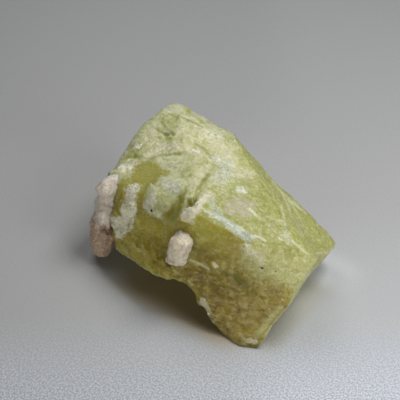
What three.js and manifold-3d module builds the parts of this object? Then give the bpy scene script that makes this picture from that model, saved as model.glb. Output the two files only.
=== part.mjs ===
// Brazilianite crystal on its own: a stubby, etched prism broken at both ends, with a granular
// feldspar lump grown on its left flank and a smaller one on its front.
// Millimetres, +Z up, resting on the floor at z = 0, +X along the crystal.
import * as THREE from "three";
import { ConvexGeometry } from "three/addons/geometries/ConvexGeometry.js";
import { TessellateModifier } from "three/addons/modifiers/TessellateModifier.js";
import { ImprovedNoise } from "three/addons/math/ImprovedNoise.js";
import { mergeVertices } from "three/addons/utils/BufferGeometryUtils.js";
import Module from "manifold-3d";

const wasm = await Module();
wasm.setup();

// ---------------------------------------------------------------- driving dimensions
const REACH = 80; // size of the boxes that cut a flat face
const WELD = 1e-4; // points closer than this are one point
const GROWTH_GAP = 0.3; // clearance between the crystal and a lump grown on it
const CRYSTAL_EDGE = 1.7; // longest triangle edge on the crystal
const LUMP_EDGE = 1.25; // longest triangle edge on a lump

// Roughness of each material: depth and wavelength of its broad waves and of its fine bumps.
const CRYSTAL_SKIN = { wave: 0.22, waveLength: 6.5, bump: 0.13, bumpLength: 1.7 };
const LUMP_SKIN = { wave: 0.22, waveLength: 2.6, bump: 0.17, bumpLength: 1.1 };
const CALM_HEIGHT = 1.2; // the roughness fades out below this height, so the base stays flat

// Flat faces. Bearing is the way a face looks in plan, in degrees from +X towards +Y, rise is
// how far it looks up, and through is a point on it.
const FACES = [
  { name: "base", bearing: 0, rise: -90, through: [0, 0, 0] },
  { name: "front", bearing: -72, rise: 20, through: [11.5, -7, 0] },
  { name: "cheek", bearing: -106.9, rise: 27.9, through: [1.5, -4.7, 14.4] },
  { name: "brow", bearing: -130.9, rise: 67.6, through: [1.5, -4.7, 14.4] },
  { name: "roof", bearing: 34.4, rise: 71.5, through: [1.5, -4.7, 14.4] },
  { name: "haunch", bearing: -31.4, rise: 40.6, through: [8, -3.4, 12.3] },
  { name: "shoulder", bearing: 51.4, rise: 44.1, through: [7.1, 3.5, 11.3] },
  { name: "end", bearing: 3.3, rise: -23.6, through: [11.5, -7, 0] },
  { name: "nape", bearing: 65, rise: 35, through: [1.6, 8.3, 12.7] },
  { name: "back", bearing: 90, rise: -4, through: [10, 8.9, 5.5] },
  { name: "crest", bearing: 120, rise: 68, through: [-11.6, 6.1, 14.45] },
  { name: "stern", bearing: 175, rise: 5, through: [-12.5, -1.6, 11.6] },
  { name: "jaw", bearing: -147.5, rise: -3, through: [-12.1, -1.9, 12] },
  { name: "stern heel", bearing: 165, rise: -38, through: [-12.2, 2, 3] },
];
// Narrow faces that take the sharpness off the long edges.
const BEVELS = [
  { name: "bright strip", bearing: -52.4, rise: 55, through: [1.4, -4.55, 14.1] },
  { name: "front edge", bearing: -54, rise: 31.9, through: [7.88, -3.25, 12.19] },
  { name: "cheek edge", bearing: -89, rise: 25, through: [1.5, -4.5, 14.3] },
  { name: "shoulder edge", bearing: 46.2, rise: 58, through: [7.05, 3.45, 11.15] },
  { name: "window spall", bearing: -114, rise: 48.3, through: [-6.75, -2.6, 12.5] },
];
// Steps: what lies above the floor of a step and in front of its riser is gone.
const STEPS = [
  {
    name: "brow ledge",
    floor: { bearing: -138.8, rise: 68.2, through: [1.5, -4.7, 14.32] },
    riser: { bearing: -61, rise: 12, through: [-6.5, 1.2, 14] },
  },
  {
    name: "shoulder terrace",
    floor: { bearing: 52, rise: 41, through: [9.6, 5, 7.6] },
    riser: { bearing: 68, rise: 2, through: [9.5, 3.6, 9.2] },
  },
  {
    name: "back terrace",
    floor: { bearing: 91, rise: -5, through: [0, 8.3, 6] },
    riser: { bearing: 80, rise: -52, through: [0, 8.8, 6.4] },
  },
  {
    name: "back foot",
    floor: { bearing: 88, rise: -10, through: [0, 7.7, 2.6] },
    riser: { bearing: 95, rise: -48, through: [-2, 8, 3.4] },
  },
];
// The hollow under the front and the head of the crystal, as the corners of its rock-like shape.
const HOLLOW = [
  [-15, -13, -1], [10.3, -13, -1], [7.4, -4, -1], [1.6, 4.2, -1], [-8.5, 3.4, -1], [-16, -3, -1],
  [-14, -13, 2.2], [-7.4, -11.6, 3.1], [-1.6, -12, 5.1], [2.3, -12, 5.4], [4.6, -12, 3.1],
  [8, -12, 0.7], [-14, -3.4, 2.4], [-6, -1.4, 4.6], [-1, -1.6, 5.5], [2.6, -2.4, 4.6],
  [0, 2.6, 2.6], [-6.5, 2.2, 2.2],
];
// V-shaped furrows along a line of points: width across the top and depth.
const FURROWS = [
  { name: "long groove", width: 0.7, depth: 0.5, line: [[0.6, -4, 14.3], [-0.2, -1, 14.2], [-0.9, 1.6, 14], [-1.2, 3, 13.8]] },
  { name: "brow furrow", width: 0.5, depth: 0.35, line: [[-11, 5.3, 14.2], [-9.3, 4.6, 14.4], [-7.9, 3.6, 14.5]] },
  { name: "small furrow", width: 0.4, depth: 0.3, line: [[-10.4, 3.9, 13.9], [-8.2, 2.8, 14.1]] },
  { name: "shoulder scratch", width: 0.35, depth: 0.25, line: [[10.1, 1.1, 10.9], [12.6, -0.3, 10.5]] },
  { name: "roof scratch", width: 0.35, depth: 0.25, line: [[2.6, 5.2, 12.2], [7.3, 3.4, 11.3]] },
  { name: "crest line", width: 0.45, depth: 0.3, line: [[-10.6, 6.3, 14.5], [-7.8, 6.2, 14.9], [-5.4, 7, 14.3]] },
];
// Shell-shaped breaks: balls whose skin bites into the surface.
const SHELLS = [
  { name: "tail shell", radius: 7, at: [19.1, 2.2, 3.9] },
  { name: "stern shell", radius: 8, at: [-20.4, 4.6, 6.8] },
  { name: "back shell", radius: 10, at: [-3.5, 17.9, 9.4] },
];
const CHIPS = [
  { name: "clear window", radius: 4.2, at: [-7.6, -5.6, 15.6] },
  { name: "lower window", radius: 3, at: [-3.9, -8.1, 11.2] },
  { name: "heel chip", radius: 1.1, at: [9.8, -8.5, 0] },
  { name: "foot chip", radius: 1, at: [7.6, -8.8, 0.9] },
  { name: "ridge chip", radius: 0.8, at: [4.6, -4.6, 13.9] },
  { name: "corner chip", radius: 0.9, at: [-13.1, -2.1, 12] },
  { name: "tail chip", radius: 1, at: [14.9, -4.2, 5.2] },
  { name: "nape chip", radius: 1.2, at: [2.6, 8.2, 12.4] },
  { name: "back chip", radius: 1.4, at: [-9.5, 10.2, 8.4] },
  { name: "stern chip", radius: 2.6, at: [-15.2, 3.4, 12.6] },
  { name: "stern pit", radius: 1.2, at: [-13.6, 7, 7.2] },
  { name: "end pit", radius: 1.1, at: [13.6, 4.2, 2.4] },
];
// Crusts: thin rough plates of frosting that stand proud of the faces, fused to the crystal.
const CRUSTS = [
  { name: "tall crust top", bearing: -106.9, rise: 27.9, at: [-8, -4.1, 10.6], across: 0.9, along: 1.5, turn: -20, thick: 0.2 },
  { name: "tall crust", bearing: -106.9, rise: 27.9, at: [-7.8, -4.9, 9.1], across: 1.1, along: 1.5, turn: 30, thick: 0.22 },
  { name: "upper crust", bearing: -106.9, rise: 27.9, at: [-5.2, -4.2, 12], across: 1.4, along: 1.2, turn: 10, thick: 0.2 },
  { name: "upper crust side", bearing: -106.9, rise: 27.9, at: [-3.8, -4.9, 11.6], across: 0.9, along: 1.6, turn: -25, thick: 0.25 },
  { name: "left crust", bearing: -106.9, rise: 27.9, at: [-9.3, -5.7, 6.9], across: 1, along: 1.4, turn: -15, thick: 0.22 },
  { name: "left crust foot", bearing: -106.9, rise: 27.9, at: [-8.6, -6.5, 5.6], across: 0.8, along: 0.9, turn: 40, thick: 0.2 },
  { name: "low crust", bearing: -106.9, rise: 27.9, at: [-6, -6.1, 8], across: 0.8, along: 1, turn: 0, thick: 0.2 },
  { name: "brow crust", bearing: -130.9, rise: 67.6, at: [-11, -1.9, 11.6], across: 0.8, along: 1, turn: 20, thick: 0.2 },
  { name: "vein end", bearing: -89, rise: 25, at: [0.9, -5.3, 13.2], across: 0.7, along: 1.5, turn: -50, thick: 0.25 },
  { name: "front knob", bearing: -72, rise: 20, at: [4.8, -6, 8.2], across: 0.5, along: 0.5, turn: 0, thick: 0.3 },
  { name: "rim patch", bearing: -72, rise: 20, at: [4.9, -7.8, 3.8], across: 0.9, along: 1.1, turn: -30, thick: 0.3 },
  { name: "edge crumbs", bearing: -54, rise: 31.9, at: [8.4, -3.6, 11.2], across: 1.1, along: 0.9, turn: 0, thick: 0.2 },
];
// Lumps of feldspar grains: each nugget is a blocky grain with its half sizes along X, Y and Z.
const FLANK_LUMP = {
  at: [-11.9, -4.9, 5.3],
  nuggets: [
    { at: [0.4, -1.25, -2.75], half: [1.9, 1.95, 2.5] },
    { at: [-0.3, 1, 3.3], half: [1.7, 1.9, 2.4] },
    { at: [0, 0.4, 0.6], half: [1.7, 1.8, 2.2] },
    { at: [-0.9, 2, -0.6], half: [1.3, 1.7, 2.4] },
    { at: [-0.6, -1.3, -0.6], half: [1.1, 0.9, 1.4] },
    { at: [0.2, 0, 5], half: [1.4, 1.4, 1.4] },
    { at: [-0.9, 0.2, 2.2], half: [1, 1, 1.2] },
  ],
};
const FRONT_LUMP = {
  at: [0.4, -6.9, 9.1],
  nuggets: [
    { at: [0.15, 0.1, 0.5], half: [1.75, 1.5, 1.9] },
    { at: [-0.7, -0.3, -1.2], half: [1.25, 1.1, 1.25] },
    { at: [0.8, 0.1, 1.1], half: [1.05, 1.1, 1.2] },
    { at: [0.6, -0.2, -0.9], half: [1.1, 1, 1] },
  ],
};
const NUGGET_CORNERS = 26; // corners of one blocky grain

// ---------------------------------------------------------------- solids
function solidOf(geometry) {
  const bare = geometry.clone();
  bare.deleteAttribute("normal");
  bare.deleteAttribute("uv");
  const welded = mergeVertices(bare, WELD);
  return new wasm.Manifold(
    new wasm.Mesh({
      numProp: 3,
      vertProperties: new Float32Array(welded.attributes.position.array),
      triVerts: new Uint32Array(welded.index.array),
    }),
  );
}

function geometryOf(solid) {
  const mesh = solid.getMesh();
  const points = new THREE.BufferAttribute(new Float32Array(mesh.vertProperties), 3);
  const corners = new THREE.BufferAttribute(new Uint32Array(mesh.triVerts), 1);
  return new THREE.BufferGeometry().setAttribute("position", points).setIndex(corners);
}

function direction(bearing, rise) {
  const b = THREE.MathUtils.degToRad(bearing);
  const r = THREE.MathUtils.degToRad(rise);
  return new THREE.Vector3(Math.cos(r) * Math.cos(b), Math.cos(r) * Math.sin(b), Math.sin(r));
}

// Turns something made along +Z so that it points the way a face looks.
function facing(bearing, rise) {
  return new THREE.Quaternion().setFromUnitVectors(new THREE.Vector3(0, 0, 1), direction(bearing, rise));
}

// Everything outside one flat face, as a large box.
function outside({ bearing, rise, through }) {
  const centre = new THREE.Vector3(...through).addScaledVector(direction(bearing, rise), REACH / 2);
  const box = new THREE.BoxGeometry(REACH, REACH, REACH);
  return solidOf(box.applyQuaternion(facing(bearing, rise)).translate(...centre));
}

// A V-shaped furrow: a row of diamond-section bars laid along the line.
function furrow({ line, width, depth }) {
  let cut = null;
  for (let i = 1; i < line.length; i++) {
    const from = new THREE.Vector3(...line[i - 1]);
    const to = new THREE.Vector3(...line[i]);
    const side = new THREE.Vector3().subVectors(to, from).cross(new THREE.Vector3(0, 0, 1)).setLength(width / 2);
    const corners = [from, to].flatMap((p) => [
      p.clone().add(side),
      p.clone().sub(side),
      p.clone().add(new THREE.Vector3(0, 0, -depth)),
      p.clone().add(new THREE.Vector3(0, 0, 1)),
    ]);
    const bar = solidOf(new ConvexGeometry(corners));
    cut = cut ? cut.add(bar) : bar;
  }
  return cut;
}

// A shell-shaped break with slightly flattened sides.
function spall({ radius, at }) {
  const detail = Math.max(1, Math.round(radius / CRYSTAL_EDGE));
  return solidOf(new THREE.IcosahedronGeometry(radius, detail).translate(...at));
}

// A thin plate with a ragged outline, lying on a face: across is level, along is up the face.
function crust({ bearing, rise, at, across, along, turn, thick }) {
  const plate = new THREE.CylinderGeometry(0.75, 1.2, thick * 2, 10, 1);
  plate.rotateX(Math.PI / 2);
  const p = plate.attributes.position;
  for (let i = 0; i < p.count; i++) {
    const angle = Math.atan2(p.getY(i), p.getX(i));
    const ragged = 1 + 0.12 * Math.sin(angle * 3 + at[0]) + 0.1 * Math.sin(angle * 4 + at[2]);
    p.setXY(i, p.getX(i) * ragged * across, p.getY(i) * ragged * along);
  }
  plate.rotateZ(THREE.MathUtils.degToRad(turn));
  const normal = direction(bearing, rise);
  const level = new THREE.Vector3(0, 0, 1).cross(normal).normalize();
  const frame = new THREE.Matrix4().makeBasis(level, normal.clone().cross(level), normal);
  return solidOf(plate.applyMatrix4(frame).translate(...at));
}

// A repeatable run of numbers from 0 to 1.
function dice(seed) {
  let state = seed;
  return () => {
    state = (state * 16807) % 2147483647;
    return state / 2147483647;
  };
}

// A blocky grain: the hull of corners spread over a squared-off ball.
function nugget({ at, half }, seed) {
  const roll = dice(seed);
  const corners = [];
  for (let i = 0; i < NUGGET_CORNERS; i++) {
    const z = 1 - (2 * i + 1) / NUGGET_CORNERS;
    const angle = i * 2.4 + roll() * 0.7;
    const flat = Math.sqrt(1 - z * z);
    const dir = new THREE.Vector3(flat * Math.cos(angle), flat * Math.sin(angle), z);
    const squared = 1 / Math.pow(dir.x ** 4 + dir.y ** 4 + dir.z ** 4, 0.13);
    const size = (0.9 + 0.2 * roll()) * squared * 0.92;
    corners.push(dir.multiplyScalar(size).multiply(new THREE.Vector3(...half)).add(new THREE.Vector3(...at)));
  }
  return solidOf(new ConvexGeometry(corners));
}

// ---------------------------------------------------------------- rough skin
const noise = new ImprovedNoise();

function drift(point, length, shift) {
  const [x, y, z] = [point.x / length + shift, point.y / length + shift, point.z / length + shift];
  return new THREE.Vector3(noise.noise(x, y, z), noise.noise(y + 7.3, z, x), noise.noise(z + 3.1, x + 5.7, y));
}

// Splits the triangles and shifts the points about, so the faces are uneven as grown.
function roughen(solid, edge, skin, floorHeight) {
  const split = new TessellateModifier(edge, 24).modify(geometryOf(solid));
  const p = split.attributes.position;
  const point = new THREE.Vector3();
  for (let i = 0; i < p.count; i++) {
    point.fromBufferAttribute(p, i);
    const calm = THREE.MathUtils.smoothstep(point.z, floorHeight, floorHeight + CALM_HEIGHT);
    const shift = drift(point, skin.waveLength, 11.5).multiplyScalar(2 * skin.wave * calm);
    shift.addScaledVector(drift(point, skin.bumpLength, 4.25), 2 * skin.bump * calm);
    p.setXYZ(i, point.x + shift.x, point.y + shift.y, point.z + shift.z);
  }
  return solidOf(split);
}

// The same shape grown outwards by a margin, for the socket that a lump sits in.
function grown(geometry, margin) {
  const swollen = geometry.clone();
  swollen.computeVertexNormals();
  const p = swollen.attributes.position;
  const n = swollen.attributes.normal;
  for (let i = 0; i < p.count; i++) {
    p.setXYZ(i, p.getX(i) + margin * n.getX(i), p.getY(i) + margin * n.getY(i), p.getZ(i) + margin * n.getZ(i));
  }
  return swollen;
}

// The largest connected body of a shape, without the crumbs that a ragged cut leaves.
function mainBody(shape) {
  const index = shape.index.array;
  const owner = Array.from({ length: index.length / 3 }, (_, t) => t);
  const body = (t) => {
    while (owner[t] !== t) {
      t = owner[t];
    }
    return t;
  };
  const sharedEdges = new Map();
  index.forEach((a, corner) => {
    const t = Math.floor(corner / 3);
    const b = index[3 * t + ((corner + 1) % 3)];
    const edge = Math.min(a, b) + "," + Math.max(a, b);
    if (sharedEdges.has(edge)) {
      owner[body(t)] = body(sharedEdges.get(edge));
    }
    sharedEdges.set(edge, t);
  });
  const bodies = owner.map((_, t) => body(t));
  const sizes = new Map();
  bodies.forEach((b) => sizes.set(b, (sizes.get(b) ?? 0) + 1));
  const largest = [...sizes].sort((a, b) => b[1] - a[1])[0][0];
  return shape.setIndex([...index].filter((_, corner) => bodies[Math.floor(corner / 3)] === largest));
}

// ---------------------------------------------------------------- crystal
let block = solidOf(new THREE.BoxGeometry(REACH, REACH, REACH));
for (const face of [...FACES, ...BEVELS]) {
  block = block.subtract(outside(face));
}
for (const { floor, riser } of STEPS) {
  block = block.subtract(outside(floor).intersect(outside(riser)));
}
block = block.subtract(solidOf(new ConvexGeometry(HOLLOW.map((corner) => new THREE.Vector3(...corner)))));
for (const shell of SHELLS) {
  block = block.subtract(spall(shell));
}
let crystal = roughen(block, CRYSTAL_EDGE, CRYSTAL_SKIN, 0);
for (const cut of [...CHIPS.map(spall), ...FURROWS.map(furrow)]) {
  crystal = crystal.subtract(roughen(cut, CRYSTAL_EDGE, CRYSTAL_SKIN, 0));
}
for (const plate of CRUSTS) {
  crystal = crystal.add(roughen(crust(plate), CRYSTAL_EDGE, CRYSTAL_SKIN, 0));
}

// ---------------------------------------------------------------- lumps
function lump({ at, nuggets }, seed) {
  let solid = null;
  nuggets.forEach((grain, i) => {
    const piece = nugget(grain, seed + 31 * i);
    solid = solid ? solid.add(piece) : piece;
  });
  const rough = geometryOf(roughen(solid, LUMP_EDGE, LUMP_SKIN, -REACH));
  const socket = solidOf(grown(rough, GROWTH_GAP).translate(...at));
  return { at, geometry: rough, socket };
}

const flank = lump(FLANK_LUMP, 101);
const nodule = lump(FRONT_LUMP, 977);
const socketed = mainBody(geometryOf(crystal.subtract(flank.socket).subtract(nodule.socket)));
const whole = mainBody(mergeVertices(socketed, WELD));

// ---------------------------------------------------------------- scene graph
const specimen = new THREE.Group();

function addPiece(name, geometry, at, material) {
  const mesh = new THREE.Mesh(geometry, material);
  mesh.name = name;
  mesh.position.set(...at);
  specimen.add(mesh);
}

addPiece(
  "brazilianite_crystal",
  whole,
  [0, 0, 0],
  new THREE.MeshStandardMaterial({ color: 0xb4b478, roughness: 0.35, metalness: 0 }),
);
addPiece(
  "flank_matrix",
  flank.geometry,
  flank.at,
  new THREE.MeshStandardMaterial({ color: 0xb9a898, roughness: 0.7, metalness: 0 }),
);
addPiece(
  "front_nodule",
  nodule.geometry,
  nodule.at,
  new THREE.MeshStandardMaterial({ color: 0xcfc3ae, roughness: 0.65, metalness: 0 }),
);

// The origin is on the floor, under the middle of the whole specimen.
const extent = new THREE.Box3().setFromObject(specimen);
const middle = extent.getCenter(new THREE.Vector3());
specimen.position.set(-middle.x, -middle.y, -extent.min.z);

const root = new THREE.Group();
root.add(specimen);
export default root;
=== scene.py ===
"""Brazilianite crystal on a pale floor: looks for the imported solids."""

import math

import bmesh
import bpy
import numpy as np
from mathutils import Euler, Matrix, Vector
from mathutils.bvhtree import BVHTree


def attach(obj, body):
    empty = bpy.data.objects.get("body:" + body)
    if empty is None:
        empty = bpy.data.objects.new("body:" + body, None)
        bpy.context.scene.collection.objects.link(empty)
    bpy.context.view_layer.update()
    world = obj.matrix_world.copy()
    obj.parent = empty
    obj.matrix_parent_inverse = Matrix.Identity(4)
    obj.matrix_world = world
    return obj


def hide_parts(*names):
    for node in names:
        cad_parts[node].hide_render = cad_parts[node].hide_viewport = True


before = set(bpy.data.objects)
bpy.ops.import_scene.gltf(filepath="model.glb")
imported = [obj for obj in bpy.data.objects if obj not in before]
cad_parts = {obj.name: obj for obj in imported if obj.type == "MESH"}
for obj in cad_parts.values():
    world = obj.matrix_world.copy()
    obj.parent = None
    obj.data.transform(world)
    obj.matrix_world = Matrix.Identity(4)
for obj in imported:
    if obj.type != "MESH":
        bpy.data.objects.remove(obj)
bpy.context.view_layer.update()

MM = 0.001  # all shapes below are worked out in millimetres


def in_scene(name, data):
    """A new object in the scene."""
    made = bpy.data.objects.new(name, data)
    bpy.context.scene.collection.objects.link(made)
    return made


# ------------------------------------------------------------------ camera
EYE = Vector((51.99, -76.84, 103.47)) * MM
AIM = Vector((-2.13, 0.45, 9.11)) * MM
VIEW_ANGLE = 20  # degrees across the frame
SENSOR = 36
camera_data = bpy.data.cameras.new("camera")
camera_data.sensor_width = SENSOR
camera_data.lens = SENSOR / 2 / math.tan(math.radians(VIEW_ANGLE / 2))
camera_data.clip_start = 0.01
camera_data.clip_end = 10
camera = in_scene("camera", camera_data)
camera.location = EYE
camera.rotation_euler = (AIM - EYE).to_track_quat("-Z", "Y").to_euler()
bpy.context.scene.camera = camera
bpy.context.scene.view_settings.view_transform = "Standard"


# ------------------------------------------------------------------ shader wiring
class Wire:
    """A node socket that Python operators can work on."""

    def __init__(self, tree, socket):
        self.tree = tree
        self.socket = socket

    def maths(self, operation, *values):
        return self.tree.node("ShaderNodeMath", {"operation": operation}, dict(enumerate(values)))[0]

    def __add__(self, other):
        return self.maths("ADD", self, other)

    def __radd__(self, other):
        return self.maths("ADD", other, self)

    def __sub__(self, other):
        return self.maths("SUBTRACT", self, other)

    def __rsub__(self, other):
        return self.maths("SUBTRACT", other, self)

    def __mul__(self, other):
        return self.maths("MULTIPLY", self, other)

    def __rmul__(self, other):
        return self.maths("MULTIPLY", other, self)

    def clamped(self):
        """The value kept between 0 and 1."""
        settings = {"operation": "ADD", "use_clamp": True}
        return self.tree.node("ShaderNodeMath", settings, {0: self, 1: 0.0})[0]

    def between(self, low, high):
        """0 below low, 1 above high, smooth between."""
        return self.tree.node(
            "ShaderNodeMapRange",
            {"interpolation_type": "SMOOTHSTEP"},
            {"Value": self, "From Min": low, "From Max": high},
        )["Result"]


class Outputs:
    """The outputs of a node, by name or number."""

    def __init__(self, tree, node):
        self.tree = tree
        self.sockets = node.outputs

    def __getitem__(self, key):
        return Wire(self.tree, self.sockets[key])


class Finish:
    """One node-based material."""

    def __init__(self, name):
        self.material = bpy.data.materials.new(name)
        self.material.use_nodes = True
        self.nodes = self.material.node_tree.nodes
        self.links = self.material.node_tree.links
        self.nodes.clear()

    def node(self, kind, settings=None, values=None):
        """Add a node: its settings first, then the values or links of its sockets."""
        made = self.nodes.new(kind)
        for key, value in (settings or {}).items():
            setattr(made, key, value)
        for key, value in (values or {}).items():
            if isinstance(value, Wire):
                self.links.new(value.socket, made.inputs[key])
            else:
                made.inputs[key].default_value = value
        return Outputs(self, made)

    def place(self):
        return self.node("ShaderNodeTexCoord")["Object"]

    def attribute(self, name):
        return self.node("ShaderNodeAttribute", {"attribute_name": name})["Fac"]

    def mix(self, factor, first, second):
        """Colour mix; the colour sockets of the Mix node are 6 and 7, and its result is 2."""
        first, second = (c if isinstance(c, Wire) else (*c, 1) for c in (first, second))
        return self.node("ShaderNodeMix", {"data_type": "RGBA"}, {0: factor, 6: first, 7: second})[2]

    def layered(self, colour, *layers):
        """A colour with others laid over it in turn; each layer is how far it covers and its colour."""
        for factor, over in layers:
            colour = self.mix(factor, colour, over)
        return colour

    def noise(self, size_mm, detail, roughness, stretch=None):
        """Noise from 0 to 1 whose lumps are about size_mm across."""
        place = self.place()
        if stretch:
            place = self.node("ShaderNodeMapping", {}, {"Vector": place, **stretch})["Vector"]
        return self.node(
            "ShaderNodeTexNoise",
            {},
            {"Vector": place, "Scale": 1 / (size_mm * MM), "Detail": detail, "Roughness": roughness},
        )["Fac"]

    def vector(self, operation, first, second):
        return self.node("ShaderNodeVectorMath", {"operation": operation}, {0: first, 1: second})

    def times(self, colour, share):
        """A colour whose red, green and blue are each multiplied by a share."""
        return self.vector("MULTIPLY", colour, share)[0]

    def along(self, direction):
        """How far a place lies along a direction, in metres."""
        return self.vector("DOT_PRODUCT", self.place(), direction)["Value"]

    def facets(self, size_mm, slope):
        """Height in metres of little planes about size_mm across, each tilted its own way."""
        place = self.place()
        cell = self.node("ShaderNodeTexVoronoi", {}, {"Vector": place, "Scale": 1 / (size_mm * MM)})
        away = self.vector("SUBTRACT", place, cell["Position"])[0]
        tilt = self.vector("SUBTRACT", cell["Color"], (0.5, 0.5, 0.5))[0]
        return self.vector("DOT_PRODUCT", away, tilt)["Value"] * (2 * slope)

    def bump(self, height):
        """Normal of a height in metres."""
        return self.node("ShaderNodeBump", {}, {"Height": height, "Strength": 1.0, "Distance": 1.0})["Normal"]

    def surface(self, values, absorbed=None, cover=None, covered=0.0):
        """Close the material.

        absorbed holds the plain values of what the inside absorbs, and cover those of a second
        finish that lies over the first where covered is 1.
        """
        shader = self.node("ShaderNodeBsdfPrincipled", {}, values)["BSDF"]
        if cover:
            second = self.node("ShaderNodeBsdfPrincipled", {}, cover)["BSDF"]
            shader = self.node("ShaderNodeMixShader", {}, {0: covered, 1: shader, 2: second})[0]
        ends = {"Surface": shader}
        if absorbed:
            ends["Volume"] = self.node("ShaderNodeVolumeAbsorption", {}, absorbed)["Volume"]
        self.node("ShaderNodeOutputMaterial", {}, ends)
        return self.material


def rgb(r, g, b):
    """Screen colour, 0 to 255, as linear light."""
    return tuple(
        c / 12.92 if c <= 0.04045 else ((c + 0.055) / 1.055) ** 2.4 for c in (r / 255, g / 255, b / 255)
    )


# ------------------------------------------------------------------ random fields, in millimetres
def smooth(value, low, high):
    """0 below low, 1 above high, smooth between; falls instead where high is below low."""
    t = np.clip((value - low) / (high - low), 0, 1)
    return t * t * (3 - 2 * t)


def facing(bearing, rise):
    """Unit direction at a bearing from +X towards +Y, lifted by rise, in degrees."""
    b, r = math.radians(bearing), math.radians(rise)
    return np.array((math.cos(b) * math.cos(r), math.sin(b) * math.cos(r), math.sin(r)))


class Field:
    """Seeded noise over space: smooth waves, and grains with a plane of their own."""

    CORNERS = np.array([(i, j, k) for i in (0, 1) for j in (0, 1) for k in (0, 1)])
    AROUND = np.array([(i, j, k) for i in (-1, 0, 1) for j in (-1, 0, 1) for k in (-1, 0, 1)])
    CELLS = 256  # the field repeats after this many cells
    OCTAVE_SHIFT = 17.3  # cells between one octave and the next, so that they don't line up
    FULL = 1.6  # brings the waves up to about -1 to 1
    TILT_SHIFT = 91  # a grain's plane is tilted by another slope than its waves
    FAR = 9.0  # cells: further than any grain's middle

    def __init__(self, seed):
        draw = np.random.RandomState(seed)
        self.order = np.tile(draw.permutation(self.CELLS), 3)
        slopes = draw.normal(size=(self.CELLS, 3))
        self.slopes = slopes / np.linalg.norm(slopes, axis=1)[:, None]
        self.jitter = draw.uniform(0.1, 0.9, size=(self.CELLS, 3))

    def lattice(self, cells):
        """The number of a cell, the same each time."""
        c = cells % self.CELLS
        return self.order[self.order[self.order[c[:, 0]] + c[:, 1]] + c[:, 2]]

    def waves(self, points, size, octaves, gain=0.5):
        """Gradient noise of about -1 to 1, with waves about size long, then half that, and so on."""
        total, weight, strength = np.zeros(len(points)), 0.0, 1.0
        for octave in range(octaves):
            p = points / size * 2**octave + self.OCTAVE_SHIFT * octave
            cell = np.floor(p).astype(int)
            f = p - cell
            ease = f**3 * (f * (6 * f - 15) + 10)
            level = np.zeros(len(points))
            for corner in self.CORNERS:
                slope = self.slopes[self.lattice(cell + corner)]
                share = np.prod(np.where(corner == 1, ease, 1 - ease), axis=1)
                level += share * ((f - corner) * slope).sum(1)
            total += strength * level * self.FULL
            weight += strength
            strength *= gain
        return total / weight

    def grains(self, points, size):
        """For each point in its grain: how far its edge is, and a tilted plane's height, in units of size."""
        p = points / size
        cell = np.floor(p).astype(int)
        nearest = np.full(len(points), self.FAR)
        second = np.full(len(points), self.FAR)
        tilt = np.zeros(len(points))
        for step in self.AROUND:
            index = self.lattice(cell + step)
            away = p - (cell + step + self.jitter[index])
            distance = np.sqrt((away**2).sum(1))
            closer = distance < nearest
            second = np.where(closer, nearest, np.minimum(second, distance))
            plane = self.slopes[(index + self.TILT_SHIFT) % self.CELLS]
            tilt = np.where(closer, (away * plane).sum(1), tilt)
            nearest = np.where(closer, distance, nearest)
        return second - nearest, tilt


WAVE = Field(seed=11)
GRAIN = Field(seed=23)


# ------------------------------------------------------------------ meshes
def vectors(mesh, name):
    """The three numbers that a mesh holds under a name for each of its points."""
    flat = np.zeros(len(mesh.vertices) * 3, np.float32)
    mesh.vertices.foreach_get(name, flat)
    return flat.reshape(-1, 3).astype(float)


def points_of(mesh):
    """The mesh's points, in millimetres."""
    return vectors(mesh, "co") / MM


def normals_of(mesh):
    return vectors(mesh, "normal")


def move_points(mesh, points):
    mesh.vertices.foreach_set("co", (points * MM).astype(np.float32).ravel())
    mesh.update()


def paint(mesh, name, values):
    """Keep a mask as an attribute that a material can read."""
    layer = mesh.attributes.new(name, "FLOAT", "POINT")
    layer.data.foreach_set("value", np.clip(values, 0, 1).astype(np.float32))


def mesh_of(solid, name):
    """The mesh of a bmesh, which is freed."""
    mesh = bpy.data.meshes.new(name)
    solid.to_mesh(mesh)
    solid.free()
    return mesh


def tree_of(mesh):
    solid = bmesh.new()
    solid.from_mesh(mesh)
    tree = BVHTree.FromBMesh(solid)
    solid.free()
    return tree


def put_in_scene(name, mesh, material):
    piece = in_scene(name, mesh)
    mesh.materials.clear()
    mesh.materials.append(material)
    mesh.shade_smooth()
    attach(piece, "root")
    return piece


WELD = 0.002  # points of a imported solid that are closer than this, in millimetres, are one
ROUNDING = 2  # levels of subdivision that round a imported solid


def fine_copy(node, voxel, crease_angle, softening):
    """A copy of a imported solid: merged, rounded between its creases, and cut into fine even quads.

    voxel is the quads' size in millimetres, crease_angle is in degrees, and softening is a number of
    rounds of smoothing.
    """
    shell = bmesh.new()
    shell.from_mesh(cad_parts[node].data)
    bmesh.ops.remove_doubles(shell, verts=shell.verts, dist=WELD * MM)
    crease = shell.edges.layers.float.new("crease_edge")
    for edge in shell.edges:
        if len(edge.link_faces) == 2 and edge.calc_face_angle(0) > math.radians(crease_angle):
            edge[crease] = 1
    rough = in_scene("rough", mesh_of(shell, "rough"))
    rounder = rough.modifiers.new("rounder", "SUBSURF")
    rounder.levels = ROUNDING
    rounder.render_levels = ROUNDING
    remesh = rough.modifiers.new("even", "REMESH")
    remesh.mode = "VOXEL"
    remesh.voxel_size = voxel * MM
    soften = rough.modifiers.new("soften", "SMOOTH")
    soften.factor = 0.5
    soften.iterations = softening
    bpy.context.view_layer.update()
    fine = bpy.data.meshes.new_from_object(rough.evaluated_get(bpy.context.evaluated_depsgraph_get()))
    bpy.data.objects.remove(rough)
    fine.name = node + "_skin"
    return fine


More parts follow.
